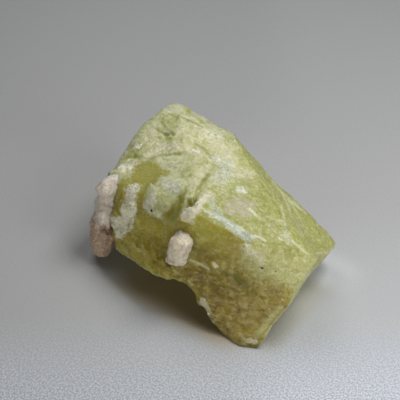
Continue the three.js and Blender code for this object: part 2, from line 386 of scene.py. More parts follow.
# ------------------------------------------------------------------ where things are on the crystal
LENGTHWAYS = np.array((0.9, 0.28, -0.33))  # the way the crystal's striations run
LENGTHWAYS = LENGTHWAYS / np.linalg.norm(LENGTHWAYS)
FRONT = facing(-56, 45)  # the side with the marks below; what faces away from it is plainer
ACROSS = facing(34, 0)  # level, and square to FRONT

# Each mark is a width in millimetres, a strength, and the points of its middle line.
# White chips and streaks of spar.
SPAR = (
    (1.15, 0.9, (-9.1, -0.1, 13.2), (-7.9, 1.2, 13.9), (-6.8, 1.6, 14.3), (-5.6, 2.0, 14.5),
     (-3.6, 2.4, 14.4)),
    (1.5, 0.7, (-11.0, 2.3, 13.8), (-10.2, 1.8, 13.7), (-9.8, 1.7, 13.6)),
    (1.1, 0.8, (-5.2, 5.7, 14.2), (-4.5, 6.0, 14.1), (-3.8, 6.5, 13.8)),
    (1.9, 0.5, (-3.0, 5.8, 13.6), (-2.1, 5.6, 13.4), (-1.9, 4.8, 13.5)),
    (1.5, 0.8, (1.2, 3.1, 13.1), (1.7, 4.0, 12.8), (2.2, 4.7, 12.5)),
    (0.9, 0.7, (-1.8, 1.8, 13.8), (-1.8, 0.5, 14.1), (-1.7, -0.4, 14.3)),
    (1.6, 0.4, (1.3, 0.9, 13.4), (1.3, -0.6, 13.5), (1.4, -1.5, 13.8)),
    (1.3, 1.0, (1.1, -4.9, 14.3), (0.9, -5.9, 14.0), (0.5, -6.3, 13.2)),
    (1.15, 1.0, (7.4, -4.5, 11.2), (8.4, -4.4, 10.7), (9.2, -4.0, 9.9)),
    (0.5, 1.0, (4.6, -6.6, 8.5), (4.9, -6.3, 8.1)),
    (0.9, 0.9, (4.4, -8.4, 3.8), (4.8, -8.4, 3.1), (5.3, -8.5, 2.5)),
    (0.7, 0.9, (10.5, -8.1, 0.9), (11.3, -7.9, 0.8)),
    (0.7, 0.45, (-6.5, -7.5, 6.0), (-5.2, -7.8, 6.2), (-3.7, -8.3, 6.2)),
    (0.6, 0.40, (-6.9, -8.0, 5.0), (-5.4, -8.3, 5.2)),
)
# The pinkish patch sunk in the top.
FELDSPAR = ((2.0, 1.0, (3.9, -1.7, 13.2), (3.9, -0.7, 13.1), (4.6, -0.1, 12.7), (4.9, -1.2, 12.9)),)
# Thick sugary crust on the cheek and the head.
CRUST = (
    (1.6, 1.0, (-8.4, -4.3, 11.4), (-8.2, -4.9, 10.5), (-7.9, -5.4, 9.7)),
    (2.3, 1.0, (-8.0, -5.6, 9.0), (-7.8, -6.2, 8.0), (-8.3, -6.6, 7.1)),
    (1.5, 0.9, (-8.4, -6.7, 7.0), (-9.6, -6.2, 6.9), (-9.1, -6.6, 6.3), (-8.4, -7.1, 6.0)),
    (1.4, 0.65, (-5.9, -5.0, 10.6), (-5.0, -5.1, 11.2), (-5.0, -4.6, 12.0)),
    (0.9, 0.5, (-4.6, -5.5, 10.9), (-3.6, -5.6, 10.9)),
    (0.9, 0.6, (-11.4, -2.3, 11.8), (-10.9, -2.7, 11.5)),
    (0.7, 0.7, (-11.1, -3.3, 10.8), (-10.8, -3.6, 10.4)),
    (1.6, 0.5, (-10.7, -1.7, 12.1), (-9.9, -1.5, 12.2)),
    (0.8, 0.7, (-11.3, 0.3, 12.9), (-10.9, 0.5, 13.0)),
    (0.6, 0.4, (1.7, -8.1, 5.6), (2.8, -8.0, 5.2)),
)
# Thin pale glaze.
GLAZE = (
    (1.6, 1.0, (-1.6, 3.3, 13.6), (-0.6, 3.4, 13.4), (0.4, 2.8, 13.4)),
    (1.6, 0.9, (0.4, 2.8, 13.4), (0.1, 1.7, 13.6), (0.3, 0.6, 13.6)),
    (1.2, 0.8, (0.5, 0.6, 13.6), (1.3, 1.6, 13.4)),
    (1.0, 0.8, (2.8, 1.1, 13.1), (3.2, 1.4, 12.8)),
    (1.7, 0.7, (-5.0, -2.6, 13.1), (-3.7, -3.0, 13.3), (-2.6, -3.3, 13.6)),
    (1.0, 0.4, (-0.7, -3.9, 13.8), (-0.3, -5.1, 13.5), (0.1, -6.0, 13.4)),
    (0.9, 0.7, (1.6, -2.6, 13.9), (2.4, -3.6, 13.9), (3.3, -3.2, 13.5)),
    (1.0, 0.6, (9.8, 0.0, 11.3), (10.5, -0.3, 11.1), (11.0, -0.5, 10.9)),
)
# Frost over the clear ledge in the middle of the cheek.
HAZE = (
    (3.0, 0.55, (-5.0, -4.4, 12.1), (-3.9, -4.5, 12.4), (-3.1, -4.5, 12.7)),
    (1.6, 0.50, (-5.4, -5.4, 10.6), (-3.8, -5.6, 10.9)),
    (0.5, 0.80, (-5.4, -4.0, 12.6), (-3.9, -3.7, 13.0), (-2.2, -3.9, 13.5)),
)
# The flat strip along the front edge of the top, painted bright bluish white as a painted reflection.
STRIP = (
    (1.0, 0.8, (2.9, -4.05, 13.7), (4.7, -3.95, 13.05)),
    (1.15, 1.0, (5.1, -4.0, 12.9), (7.3, -3.65, 12.0)),
)
# Striations and edges with a painted highlight along them.
LINES = (
    (0.30, 1.0, (2.0, -7.3, 8.2), (3.0, -7.0, 8.0), (4.1, -6.8, 7.6)),
    (0.30, 1.0, (11.2, -0.3, 10.7), (12.1, -0.2, 10.1), (12.9, 0.0, 9.5)),
    (0.34, 0.9, (3.3, 7.8, 9.3), (4.8, 7.6, 8.6), (5.9, 7.5, 8.0)),
    (0.60, 0.9, (6.0, 7.4, 8.0), (6.9, 7.7, 7.5), (8.0, 7.8, 6.8)),
    (0.44, 0.9, (4.8, 7.5, 8.6), (6.5, 6.2, 8.4), (7.8, 4.8, 8.8), (8.9, 4.4, 8.2), (10.3, 3.5, 7.8)),
    (0.40, 0.8, (5.2, 5.7, 9.6), (7.4, 3.1, 11.0), (8.6, 1.8, 11.3)),
    (0.38, 0.6, (5.9, 7.2, 8.2), (7.6, 6.5, 7.6), (9.1, 5.5, 7.1)),
    (0.45, 0.8, (5.2, -0.3, 12.7), (6.0, -0.4, 12.4), (6.8, -0.6, 12.2)),
    (0.34, 0.5, (7.5, 0.5, 11.7), (8.6, 1.1, 11.4)),
    (0.34, 0.5, (8.2, 0.7, 11.5), (9.1, 0.7, 11.2)),
    (0.34, 0.6, (-2.0, 6.5, 13.2), (-0.7, 4.7, 13.4)),
    (0.60, 0.6, (12.6, -4.9, 4.9), (11.7, -6.3, 2.5), (11.2, -7.5, 1.4)),
)
# Small painted glints, some of them white flecks.
GLINTS = (
    (0.34, 0.8, (-6.2, 1.8, 14.4), (-6.0, 1.9, 14.4)),
    (0.50, 0.9, (-4.5, 2.5, 14.4), (-3.9, 2.6, 14.3)),
    (0.34, 0.8, (-5.3, 5.8, 14.2), (-4.8, 5.5, 14.1)),
    (0.34, 0.7, (-4.5, 6.1, 14.0), (-4.3, 6.7, 13.9)),
    (0.36, 0.7, (-3.8, 6.6, 13.8), (-3.2, 7.0, 13.5)),
    (0.36, 0.7, (-1.6, 3.5, 13.6), (-0.8, 3.6, 13.5)),
    (0.40, 0.8, (-0.4, 3.8, 13.4), (0.5, 3.8, 13.1)),
    (0.34, 0.7, (0.1, 1.5, 13.5), (0.8, 1.4, 13.4)),
    (0.40, 0.7, (2.7, 0.9, 13.1), (3.3, 1.4, 12.8)),
    (0.32, 0.8, (2.8, 1.8, 12.9), (3.5, 1.4, 12.7)),
    (0.36, 0.7, (5.3, -0.3, 12.6), (6.4, -0.6, 12.3)),
    (0.36, 0.9, (7.7, -3.1, 12.0), (8.1, -2.8, 11.9), (8.9, -2.6, 11.5)),
    (0.34, 0.8, (9.7, -1.2, 11.3), (10.0, -1.1, 11.1)),
    (0.34, 0.7, (2.1, -4.6, 14.0), (2.8, -4.5, 13.8)),
    (0.34, 0.6, (2.8, -4.7, 13.5), (3.5, -4.3, 13.5)),
    (0.32, 0.7, (-4.9, -3.0, 13.0), (-3.7, -3.2, 13.3)),
    (0.32, 0.7, (-3.3, -3.4, 13.3), (-2.1, -3.6, 13.7)),
    (0.32, 0.7, (-5.4, -4.4, 12.4), (-5.0, -4.2, 12.7)),
    (0.40, 0.8, (-8.9, -4.1, 11.1), (-8.3, -4.0, 11.5)),
    (0.34, 0.6, (-11.3, 0.5, 12.9), (-10.9, 0.4, 13.0)),
    (0.32, 0.7, (-11.3, -1.9, 11.9), (-10.9, -2.3, 11.8)),
    (0.40, 0.8, (0.5, -6.0, 13.6), (0.8, -5.9, 13.9)),
    (0.34, 0.8, (0.8, -4.5, 14.2), (0.9, -3.7, 14.3)),
    (0.24, 0.7, (10.5, -4.8, 6.6), (10.6, -4.8, 6.6)),
    (0.28, 0.8, (12.5, -4.5, 5.9), (12.7, -4.4, 5.7)),
    (0.26, 0.7, (6.7, -7.3, 4.1), (6.8, -7.3, 4.1)),
    (0.26, 0.7, (6.6, -7.9, 2.8), (6.7, -7.9, 2.8)),
)
# Windows into the clear inside.
CLEAR = (
    (2.8, 1.0, (-8.8, -2.0, 12.1), (-7.8, -1.8, 12.5)),
    (2.4, 1.0, (-6.9, -2.0, 12.7), (-6.9, -2.8, 12.4)),
    (1.9, 1.0, (-7.9, -3.3, 11.8), (-6.6, -4.0, 11.9)),
    (1.3, 0.9, (-6.5, -1.6, 12.8), (-5.6, -1.6, 13.1)),
    (1.2, 0.9, (-10.0, -3.7, 10.8), (-9.3, -3.4, 11.3), (-8.5, -3.2, 11.7)),
    (1.4, 0.9, (-10.8, -3.9, 9.8), (-10.3, -4.5, 8.8), (-9.9, -5.1, 7.9), (-9.7, -5.7, 7.4)),
    (2.3, 1.0, (-5.6, -6.0, 9.1), (-4.2, -6.2, 9.4), (-2.9, -6.2, 9.8)),
    (1.3, 1.0, (-1.7, -4.3, 13.4), (-1.2, -5.2, 13.0), (-1.2, -5.6, 12.1), (-1.5, -6.0, 11.2)),
    (0.9, 1.0, (0.0, -4.2, 14.0), (0.6, -4.5, 14.1)),
)
# Greener places, and mossy green ones.
GREEN = (
    (2.4, 0.8, (1.6, -5.8, 12.6), (2.8, -5.6, 12.0), (4.2, -5.1, 11.7)),
    (2.2, 0.6, (-10.4, 4.4, 14.4), (-9.0, 5.0, 14.7)),
    (1.6, 1.0, (-3.4, -0.6, 13.9), (-2.5, -0.9, 14.2)),
    (3.4, 0.5, (2.6, 4.2, 12.5), (5.2, 3.8, 11.6), (6.6, 3.4, 11.0)),
    (0.9, 0.8, (-9.3, 2.4, 14.0), (-7.8, 2.4, 14.3)),
    (1.1, 0.8, (9.9, -1.4, 11.0), (11.3, -0.9, 10.5)),
)
MOSS = (
    (1.7, 0.8, (-0.4, 6.2, 12.9), (0.7, 5.6, 12.7), (1.5, 5.2, 12.6)),
    (1.4, 1.0, (6.1, 1.7, 12.0), (6.7, 1.8, 11.8), (7.5, 1.8, 11.6)),
    (2.5, 1.0, (8.9, 6.7, 6.7), (9.9, 6.6, 6.1), (10.9, 6.3, 5.7)),
    (2.2, 0.9, (10.0, 5.2, 6.6), (10.9, 4.6, 6.2)),
    (0.8, 0.9, (-11.4, -0.7, 12.3), (-10.6, -0.8, 12.5), (-9.9, -0.9, 12.7)),
    (0.8, 0.7, (1.8, -1.7, 13.6), (2.4, -1.9, 13.6)),
)
# The white vein beside the nodule.
VEIN = (
    (0.9, 0.7, (0.9, -1.9, 13.9), (1.1, -3.6, 14.3), (1.1, -4.7, 14.3), (0.9, -5.6, 14.1)),
    (1.3, 1.0, (1.0, -5.3, 14.2), (0.8, -6.0, 13.9), (0.5, -6.3, 13.2), (1.2, -6.3, 12.8)),
)
# Dark cracks and deep spots.
DARK = (
    (0.9, 0.6, (-1.5, -4.0, 13.7), (-1.0, -4.7, 13.5), (-0.9, -5.5, 12.8), (-1.5, -5.8, 11.6)),
    (0.9, 0.5, (-1.8, -5.0, 12.6), (-2.0, -5.6, 11.6)),
    (1.1, 1.0, (-0.2, -4.2, 14.0), (0.4, -4.3, 13.9), (0.5, -4.8, 14.0)),
    (0.9, 0.8, (2.3, -6.6, 9.8), (3.0, -6.4, 9.2)),
    (0.7, 0.5, (5.6, -5.6, 9.3), (6.4, -5.4, 9.0)),
    (0.7, 0.7, (6.2, -6.0, 7.4), (7.1, -5.7, 7.4), (7.7, -5.8, 6.8)),
    (0.6, 0.6, (8.1, -5.5, 7.2), (8.7, -5.6, 6.6)),
    (0.6, 0.6, (5.9, -6.7, 5.9), (6.9, -6.5, 5.6)),
)
# The palest frost, and the straw-coloured frost of the far edge.
PALE = (
    (2.8, 1.0, (-7.6, 0.6, 13.4), (-6.2, 0.2, 13.6), (-4.8, -0.4, 13.7), (-3.6, -1.8, 13.7)),
    (2.6, 0.8, (-9.6, 3.8, 14.3), (-7.6, 3.8, 14.4)),
    (2.0, 0.8, (-10.2, 7.6, 14.4), (-8.6, 7.6, 14.6)),
    (1.6, 0.8, (-6.8, -4.2, 11.8), (-5.6, -4.4, 12.0)),
)
STRAW = ((2.6, 1.0, (-4.9, 4.4, 14.2), (-2.6, 5.6, 13.6), (0.6, 4.8, 12.9)),)
# Where the top and the front's right half run into each other.
HAUNCH = ((5.6, 1.0, (9.6, -3.0, 10.6), (11.2, -2.4, 9.8), (12.6, -1.6, 9.0)),)
# Furrows of the frosted top, darkened with painted shade; the first is the step across it.
CREASES = (
    (0.34, 0.7, (-8.7, -0.4, 12.9), (-8.1, 0.1, 13.2), (-7.0, 0.7, 13.6), (-5.1, 1.6, 14.2),
     (-3.5, 2.5, 14.2)),
    (0.40, 0.8, (-10.4, 5.7, 14.7), (-8.8, 5.6, 15.0), (-7.3, 6.2, 14.6), (-6.0, 6.5, 14.3)),
    (0.45, 1.0, (-10.4, 4.3, 14.4), (-9.2, 3.7, 14.4), (-7.8, 3.1, 14.6)),
    (0.40, 1.0, (-10.3, 3.2, 14.1), (-9.3, 3.0, 14.1), (-8.4, 3.0, 14.3)),
    (0.34, 0.8, (-9.5, 2.2, 14.0), (-9.2, 2.2, 14.0)),
    (0.40, 0.8, (-8.3, 2.4, 14.1), (-7.8, 2.6, 14.3)),
    (0.40, 0.7, (-4.8, 3.5, 14.3), (-4.0, 3.7, 14.0), (-3.0, 3.4, 13.9), (-2.4, 3.2, 13.8)),
    (0.40, 1.0, (-1.0, 0.5, 13.9), (-0.7, -1.0, 14.0), (-0.5, -2.1, 14.0)),
    (0.45, 0.9, (-11.6, -1.0, 12.1), (-10.9, -0.7, 12.4), (-10.0, -0.8, 12.7)),
    (0.34, 0.7, (0.6, -0.5, 13.7), (1.0, -0.3, 13.6)),
    (0.34, 0.6, (6.1, 1.7, 12.0), (6.7, 1.6, 11.8)),
    (0.34, 0.6, (7.5, 2.3, 11.4), (8.3, 1.5, 11.5)),
)
# Colours of the inside, where the front shows it: olive, brown and amber.
DEEP = (
    (2.6, 0.8, (5.2, -6.5, 7.0), (6.6, -6.1, 6.7), (8.3, -5.7, 6.6)),
    (2.0, 0.6, (2.0, -6.6, 9.4), (3.5, -6.4, 8.9)),
    (2.4, 1.0, (3.0, -6.5, 8.9), (3.8, -7.2, 6.8), (4.6, -7.4, 5.0)),
    (2.6, 1.0, (-1.8, -8.0, 7.0), (0.2, -8.1, 6.6), (2.2, -8.0, 5.9)),
    (1.8, 0.8, (-3.6, -7.6, 7.6), (-2.2, -7.2, 8.6)),
)
BROWN = (
    (2.8, 1.0, (2.8, -7.5, 6.4), (4.3, -7.2, 5.9), (5.8, -7.0, 5.2)),
    (2.4, 1.0, (5.6, -8.0, 3.4), (7.2, -7.4, 3.8), (8.6, -6.8, 4.2)),
    (2.2, 1.0, (4.4, -8.3, 4.0), (5.8, -8.4, 2.4), (7.4, -8.4, 1.4), (9.2, -8.4, 0.5), (10.8, -8.0, 0.6)),
)
AMBER = (
    (3.6, 1.0, (8.0, -6.4, 5.4), (9.6, -6.4, 4.4), (10.2, -6.6, 3.2)),
    (3.0, 1.0, (7.6, -7.2, 3.6), (8.6, -7.4, 2.2), (9.8, -7.8, 1.4)),
    (2.8, 1.0, (12.0, -4.2, 6.5), (12.2, -4.9, 5.0), (12.0, -5.7, 3.6)),
    (1.4, 0.5, (6.6, -5.2, 10.0), (7.8, -5.0, 9.2)),
)

ARCH_EDGE = ((2.2, -8.1, 5.0), (3.4, -8.2, 4.2), (4.6, -8.3, 3.3), (6.2, -8.1, 2.0))

# Each push is a reach in millimetres, the move, and the points of its middle line.
CRYSTAL_PUSHES = (
    (4.5, (0.34, 0.60, 0.30), (9.0, 8.4, 5.0), (11.6, 7.9, 3.6)),
    (3.5, (0.12, 0.33, 0.20), (-4.0, 8.4, 13.3), (1.0, 8.6, 9.8), (5.0, 8.4, 7.4)),
    (2.6, (0.50, -0.75, 0.0), (10.2, -7.6, 0.3), (11.4, -7.1, 0.5)),
    (2.2, (-0.30, -0.42, 0.0), (6.6, -8.4, 1.9), (8.0, -8.4, 1.2), (9.4, -8.3, 0.5)),
    (2.2, (-0.70, -0.42, 0.0), *ARCH_EDGE),
    (3.2, (-0.34, -0.10, 0.12), (-12.1, 1.6, 12.9), (-12.0, 3.5, 13.7)),
    (2.4, (-0.50, -0.36, 0.00), (-12.0, -2.2, 9.2), (-11.6, -2.8, 9.8)),
    (2.4, (-0.62, -0.44, 0.04), (-11.1, -3.7, 10.8), (-10.3, -4.8, 9.6), (-9.6, -5.8, 8.2)),
    (2.0, (-0.15, 0.15, 0.22), (-11.4, 7.6, 14.2), (-10.4, 8.4, 14.2)),
    (3.0, (-0.05, -0.40, -0.40), (-7.8, 9.0, 14.2), (-5.6, 9.0, 13.8)),
)
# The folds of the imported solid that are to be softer, written as marks.
SOFTENED = (
    (1.8, 0.9, (-9.1, -0.7, 12.8), (-7.7, 0.2, 13.4), (-6.3, 0.9, 13.9), (-5.0, 1.5, 14.2),
     (-3.6, 2.2, 14.3)),
    (1.4, 0.8, (-1.4, 1.9, 13.7), (-0.9, 0.3, 13.9), (-0.7, -0.8, 14.0), (-0.6, -1.8, 13.9)),
    (3.0, 1.0, (8.2, -3.1, 11.8), (9.1, -2.0, 11.6), (10.2, -0.5, 11.2), (11.9, -0.1, 10.5),
     (13.3, 0.5, 9.4)),
    (3.0, 1.0, (2.8, 8.5, 9.1), (6.7, 6.4, 8.2), (10.0, 4.5, 7.2), (12.6, 2.0, 8.4)),
    (2.4, 1.0, (9.7, -4.4, 8.8), (11.6, -4.0, 7.4), (12.9, -3.4, 6.8)),
    (3.4, 0.9, (-5.3, -5.0, 11.8), (-4.1, -4.6, 12.6), (-2.9, -4.4, 13.0)),
    (2.2, 1.0, *ARCH_EDGE),
    (2.0, 0.8, (-11.6, -2.2, 11.6), (-10.9, -2.9, 11.2)),
)
FLANK_PUSHES = (
    (3.0, (0.85, 0.35, -0.20), (-13.9, -4.6, 9.4), (-13.0, -3.4, 11.0)),
    (1.8, (0.35, -0.40, 0.10), (-11.6, -6.4, 6.2), (-11.2, -6.3, 5.0)),
    (2.2, (-0.10, 0.10, 0.50), (-12.3, -3.8, 11.2), (-11.8, -3.2, 11.4)),
    (2.4, (-0.05, -0.20, -0.55), (-11.4, -7.8, 1.9), (-11.0, -7.6, 1.7)),
)
NODULE_PUSHES = (
    (2.2, (0.42, 0.30, -0.10), (-2.2, -7.9, 7.6), (-2.0, -7.4, 8.6)),
    (2.0, (0.30, 0.20, -0.36), (-1.7, -6.6, 9.8), (-1.0, -6.4, 10.6)),
    (1.8, (-0.28, -0.20, 0.0), (2.1, -7.0, 9.2), (2.0, -7.4, 8.0)),
    (1.2, (-0.10, -0.05, -0.30), (-0.9, -8.4, 6.6), (-0.5, -8.4, 6.6)),
)


def away_from(places, path):
    """Distance of each place from a line of points."""
    away = np.full(len(places), np.inf)
    for start, end in zip(path, path[1:]):
        start, along = np.array(start), np.array(end) - np.array(start)
        share = np.clip((places - start) @ along / (along @ along), 0, 1)
        away = np.minimum(away, np.linalg.norm(places - start - share[:, None] * along, axis=1))
    return away


def reshaped(points, pushes):
    """Points moved by soft pushes."""
    moved = points.copy()
    for reach, move, *path in pushes:
        moved += smooth(away_from(points, path) / reach, 1, 0.1)[:, None] * np.array(move)
    return moved


def grown(places, marks, soft):
    """1 inside the marks, 0 beyond, with an edge that is soft by a share of the width."""
    level = np.zeros(len(places))
    for width, strength, *path in marks:
        inside = smooth(away_from(places, path) / width, 0.5 + soft, 0.5 - soft)
        level = np.maximum(level, strength * inside)
    return level


def faced(normals, bearing, rise, spread):
    """1 where the surface looks within about spread degrees of a direction."""
    inner, outer = math.cos(math.radians(spread * 0.65)), math.cos(math.radians(spread * 1.35))
    return smooth(normals @ facing(bearing, rise), outer, inner)


def most(*masks):
    """The strongest of some masks, point by point."""
    return np.maximum.reduce(masks)


def pushed(points, amount, size):
    """Points pushed about by noise, so that what is measured from them gets a ragged edge."""
    push = [WAVE.waves(points + offset, size, 4, 0.65) for offset in (0.0, 31.7, 63.1)]
    return points + amount * np.stack(push, 1)


CLEAR_ABOVE = 10.4  # windows below this height look into the olive depth


def crystal_masks(p, n):
    """What grows where: each mask is 0 to 1 over the crystal's points p, whose normals are n."""
    ragged = pushed(p, 0.34, 0.8)
    drifting = pushed(p, 0.70, 2.2)
    chance = WAVE.waves(p + 40.0, 3.2, 4, 0.6)
    other = WAVE.waves(p - 25.0, 2.6, 4, 0.6)
    height = p[:, 2]
    seen = n @ FRONT
    hidden = smooth(seen, 0.12, -0.2)
    upward = smooth(n[:, 2], 0.50, 0.80) * smooth(height, 8.2, 10.2)
    low = smooth(height, 11.0, 6.0) * smooth(n @ facing(-80, 0), 0.2, 0.6)
    right = smooth(p @ facing(-20, 0), -1.0, 4.0) * upward
    haunch = grown(drifting, HAUNCH, 0.45)
    shoulder = faced(n, 50, 46, 18)
    end = faced(n, 0, 0, 45) * smooth(seen, -0.2, 0.1)
    end_rim = smooth(seen, 0.0, 0.3) * smooth(p @ facing(-8, -24), 10.4, 11.8) * smooth(height, 0.8, 2.4)
    step = grown(p, CREASES[:1], 0.3)
    clear = grown(ragged, CLEAR, 0.22)
    crust = most(grown(ragged, CRUST, 0.3), hidden * smooth(chance, 0.44, 0.66) * 0.7)
    spar = most(grown(ragged, SPAR, 0.3), hidden * smooth(other, 0.44, 0.66) * 0.7)
    glaze = grown(ragged, GLAZE, 0.35)
    haze = grown(ragged, HAZE, 0.25) * (1 - 0.9 * grown(p, DARK, 0.4))
    far_edge = smooth(p[:, 1], 5.2, 6.2) * smooth(height, 13.2, 13.8) * upward
    frosted = most(
        upward * (0.95 - 0.25 * haunch), haunch * 0.6, shoulder * 0.9, step * 0.9, end * 0.7, end_rim * 0.6
    )
    veil = most(frosted * (1 - 0.95 * clear), hidden * (0.34 + 0.5 * chance))
    return {
        "veil": most(veil + 0.2 * other * veil, haze),
        "clear": clear * (1 - most(crust, haze)),
        "crust": crust * (1 - 0.8 * spar),
        "spar": spar,
        "feldspar": grown(ragged, FELDSPAR, 0.3),
        "glaze": glaze * (1 - 0.6 * spar),
        "strip": grown(p, STRIP, 0.12),
        "line": grown(pushed(p, 0.06, 0.8), LINES, 0.4),
        "glint": grown(pushed(p, 0.18, 0.4), GLINTS, 0.2),
        "crease": grown(pushed(p, 0.15, 1.2), CREASES, 0.4),
        "straw": most(far_edge, grown(drifting, STRAW, 0.3)),
        "brown": most(grown(drifting, BROWN, 0.4), 0.5 * hidden * smooth(other, 0.0, -0.4)),
        "amber": grown(drifting, AMBER, 0.4),
        "deep": most(grown(drifting, DEEP, 0.4), clear * (height < CLEAR_ABOVE)),
        "green": grown(drifting, GREEN, 0.4),
        "moss": grown(drifting, MOSS, 0.4),
        # painted shade for the right of the top and the shoulder
        "painted_shade_right": most(right * 0.8, shoulder),
        "vein": grown(pushed(p, 0.34, 0.7), VEIN, 0.3),
        "dark": grown(ragged, DARK, 0.4),
        "haunch": most(end_rim, haunch, end),
        "pale": grown(drifting, PALE, 0.5),
        "mottled": low,
    }


# ------------------------------------------------------------------ the crystal's surface
def averaged(mesh, points, rounds):
    """Each point moved to the middle of its neighbours, again and again."""
    ends = np.zeros(len(mesh.edges) * 2, np.int32)
    mesh.edges.foreach_get("vertices", ends)
    first, second = ends.reshape(-1, 2).T
    count = np.bincount(ends, minlength=len(points))
    for _ in range(rounds):
        sums = [
            np.bincount(first, level[second], len(points)) + np.bincount(second, level[first], len(points))
            for level in points.T
        ]
        points = np.stack(sums, 1) / count[:, None]
    return points


def bulge_of(mesh, points, normals, rounds):
    """How far each point stands out from the points around it, in millimetres."""
    return ((points - averaged(mesh, points, rounds)) * normals).sum(1)


def crystal_relief(p, masks):
    """Height to add along the normal, in millimetres."""
    sugary = most(masks["crust"], 0.7 * masks["glaze"], masks["glint"])
    frosted = np.clip(masks["veil"], 0, 1)
    calm = 1 - most(masks["strip"], 0.9 * masks["clear"], 0.7 * masks["spar"], 0.5 * masks["mottled"])
    drawn_out = p - 0.85 * (p @ LENGTHWAYS)[:, None] * LENGTHWAYS
    _, plates = GRAIN.grains(drawn_out, 1.1)
    _, chips = GRAIN.grains(p, 0.6)
    _, crumbs = GRAIN.grains(p + 5.5, 0.34)
    pits = smooth(WAVE.waves(p + 9.1, 1.0, 2), 0.30, 0.62)
    height = 0.06 * WAVE.waves(p, 2.4, 4, 0.6)
    height += 0.03 * calm * WAVE.waves(drawn_out, 0.6, 3, 0.7)
    height += 0.06 * calm * plates
    height += 0.04 * calm * chips * (0.3 + 0.7 * frosted)
    height += 0.015 * calm * crumbs
    height += sugary * (0.03 + 0.04 * chips + 0.04 * crumbs)
    height += masks["spar"] * (0.03 + 0.02 * chips + 0.02 * crumbs)
    height += 0.04 * most(masks["line"], masks["strip"])
    height -= 0.04 * masks["clear"] + 0.02 * masks["crease"]
    height -= 0.05 * pits * calm
    return height


SOCKET = 0.36  # the socket's wall is this close to what lies in it, in millimetres
RIM = (0.42, 0.62)  # where the filling runs out
RING = (0.5, 1.3)  # the band round the socket that the filling's sheet goes through
RING_DEPTH = -1.8  # how far below the socket's middle that band may reach


def filled(points, filler, out):
    """Points of a socket raised, along out, to a smooth sheet through what lies around the socket."""
    tree = tree_of(filler)
    gap = np.array([tree.find_nearest(Vector(q * MM))[3] for q in points]) / MM
    middle = points[gap < SOCKET].mean(0)
    side = np.cross(out, (0, 0, 1))
    side = side / np.linalg.norm(side)
    axes = np.stack((side, np.cross(out, side), out))
    u, v, height = ((points - middle) @ axes.T).T
    terms = np.stack((np.ones_like(u), u, v, u * u, u * v, v * v), 1)
    ring = (gap > RING[0]) & (gap < RING[1]) & (height > RING_DEPTH)
    sheet = terms @ np.linalg.lstsq(terms[ring], height[ring], rcond=None)[0]
    raised = np.maximum(sheet - height, 0) * smooth(gap, RIM[1], RIM[0])
    return points + raised[:, None] * out


def crystal_skin():
    """The crystal's surface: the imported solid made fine, reshaped, masked and given its relief."""
    mesh = fine_copy("brazilianite_crystal", voxel=0.15, crease_angle=28, softening=3)
    points = filled(points_of(mesh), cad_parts["front_nodule"].data, facing(-80, 25))
    move_points(mesh, reshaped(points, CRYSTAL_PUSHES))
    p = points_of(mesh)
    p += grown(p, SOFTENED, 0.4)[:, None] * (averaged(mesh, p, 50) - p)
    move_points(mesh, p)
    n = normals_of(mesh)
    masks = crystal_masks(p, n)
    off_floor = smooth(p[:, 2], 0.05, 0.9)
    moved = p + (crystal_relief(p, masks) * off_floor)[:, None] * n
    moved[:, 2] = np.maximum(moved[:, 2], 0)
    move_points(mesh, moved)
    bulge = bulge_of(mesh, moved, normals_of(mesh), 5)
    # where the skin stands out it gets a painted highlight, where it sinks painted shade
    masks["ridge"] = smooth(bulge, 0.010, 0.06)
    masks["hollow"] = smooth(bulge, -0.008, -0.05)
    for name, mask in masks.items():
        paint(mesh, name, mask)
    return mesh


# ------------------------------------------------------------------ finishes
STREAK_TURN = (0.3, 0.33, 0.3)  # turns a pattern's X to run with the striations, in radians
FINE_BUMP = 0.03 * MM  # the height of the finest grain


